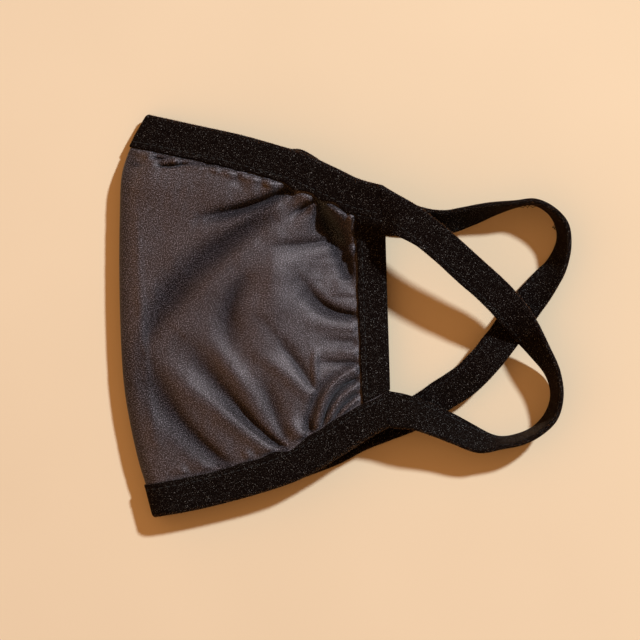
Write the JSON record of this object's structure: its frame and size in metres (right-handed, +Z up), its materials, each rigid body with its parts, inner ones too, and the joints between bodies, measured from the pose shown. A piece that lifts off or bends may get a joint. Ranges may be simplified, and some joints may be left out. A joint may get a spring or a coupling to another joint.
{
  "type": "cloth face mask",
  "caption": "Folded cloth face mask with tape-bound edges and crossed ear loops, lying flat on one half.",
  "frame": {"origin": "under the middle of the lying mask's outline, on the surface that it lies on", "axes": "+X from the centre fold to the ear loops, +Y from the chin edge to the nose edge, +Z up"},
  "size_m": [0.1818, 0.1612, 0.0215],
  "materials": {
    "cloth": "smooth fine knit with a soft sheen",
    "tape": "matt brushed tape"
  },
  "bodies": {
    "root": {"face_panel": "cloth", "top_binding": "tape", "bottom_binding": "tape", "near_side_binding": "tape", "far_side_binding": "tape", "near_ear_loop": "tape", "far_ear_loop": "tape"}
  },
  "joints": []
}
